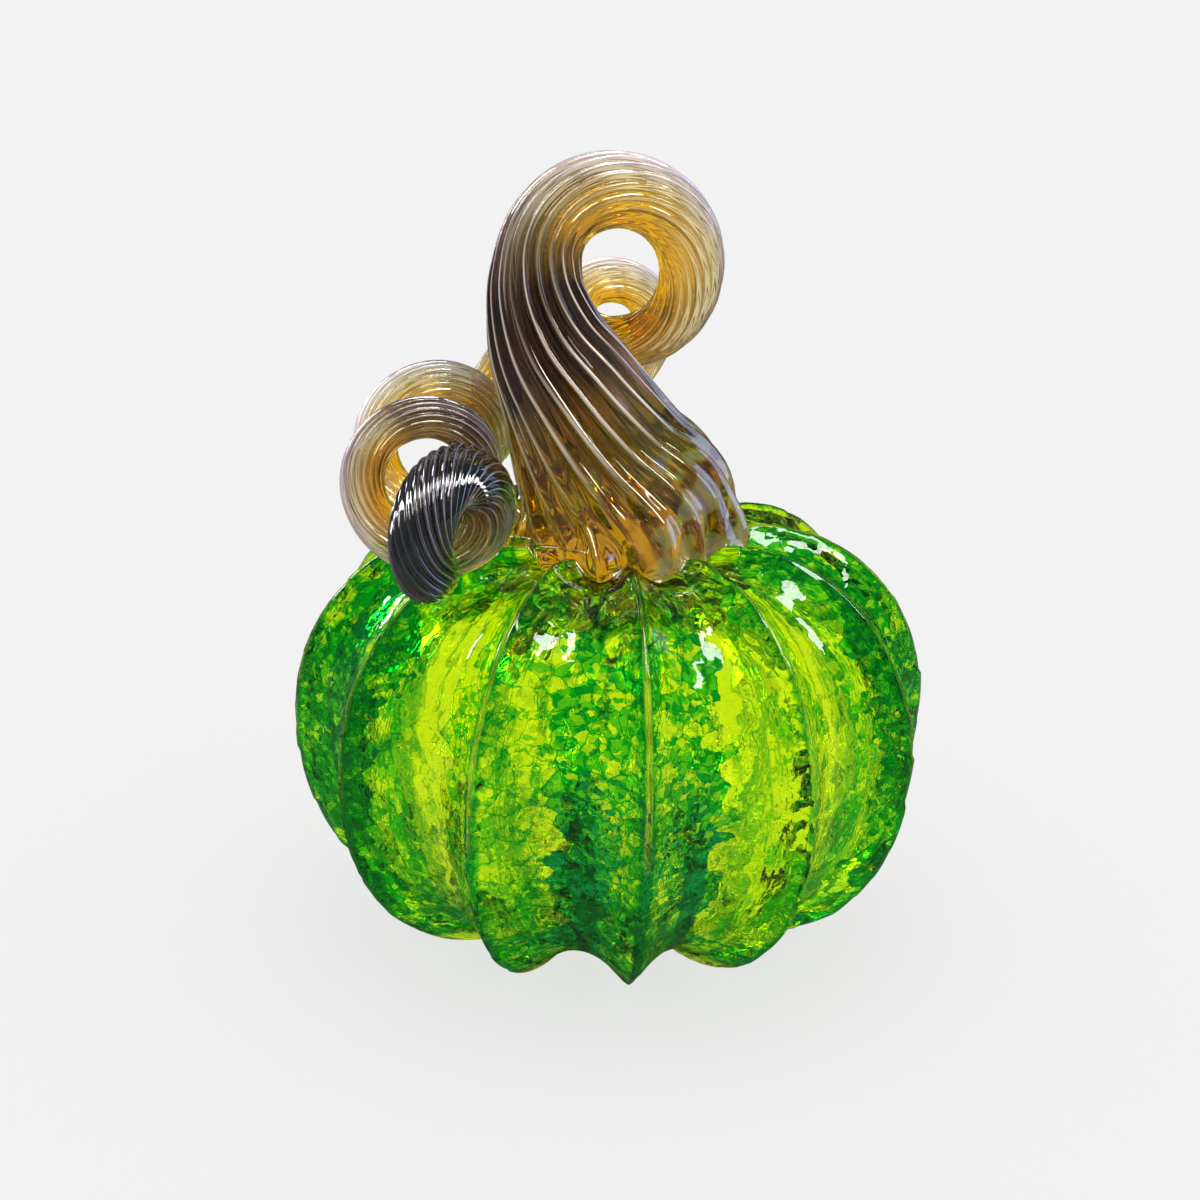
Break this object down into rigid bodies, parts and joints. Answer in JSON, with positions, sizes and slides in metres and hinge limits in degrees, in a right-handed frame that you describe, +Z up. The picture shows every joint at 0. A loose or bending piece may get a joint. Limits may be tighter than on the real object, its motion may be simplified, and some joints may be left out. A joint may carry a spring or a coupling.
{
  "type": "glass pumpkin paperweight",
  "caption": "Hand-blown glass pumpkin paperweight: hollow ridged green body with an amber ribbed stem drawn into a loop and a corkscrew tail.",
  "frame": {"origin": "centre of the base, on the plane that the ridges stand on", "axes": "+Z up along the axis of the body, -Y towards the viewer of the picture, +X to that viewer's right"},
  "size_m": [0.0934, 0.0934, 0.1142],
  "materials": {
    "green_crackle_glass": "blown into a ribbed mould, crackled, fire-polished",
    "amber_lustre_glass": "drawn and twisted hot, silvery lustre on the ribs"
  },
  "bodies": {
    "root": {"body": "green_crackle_glass", "stem": "amber_lustre_glass"}
  },
  "joints": []
}
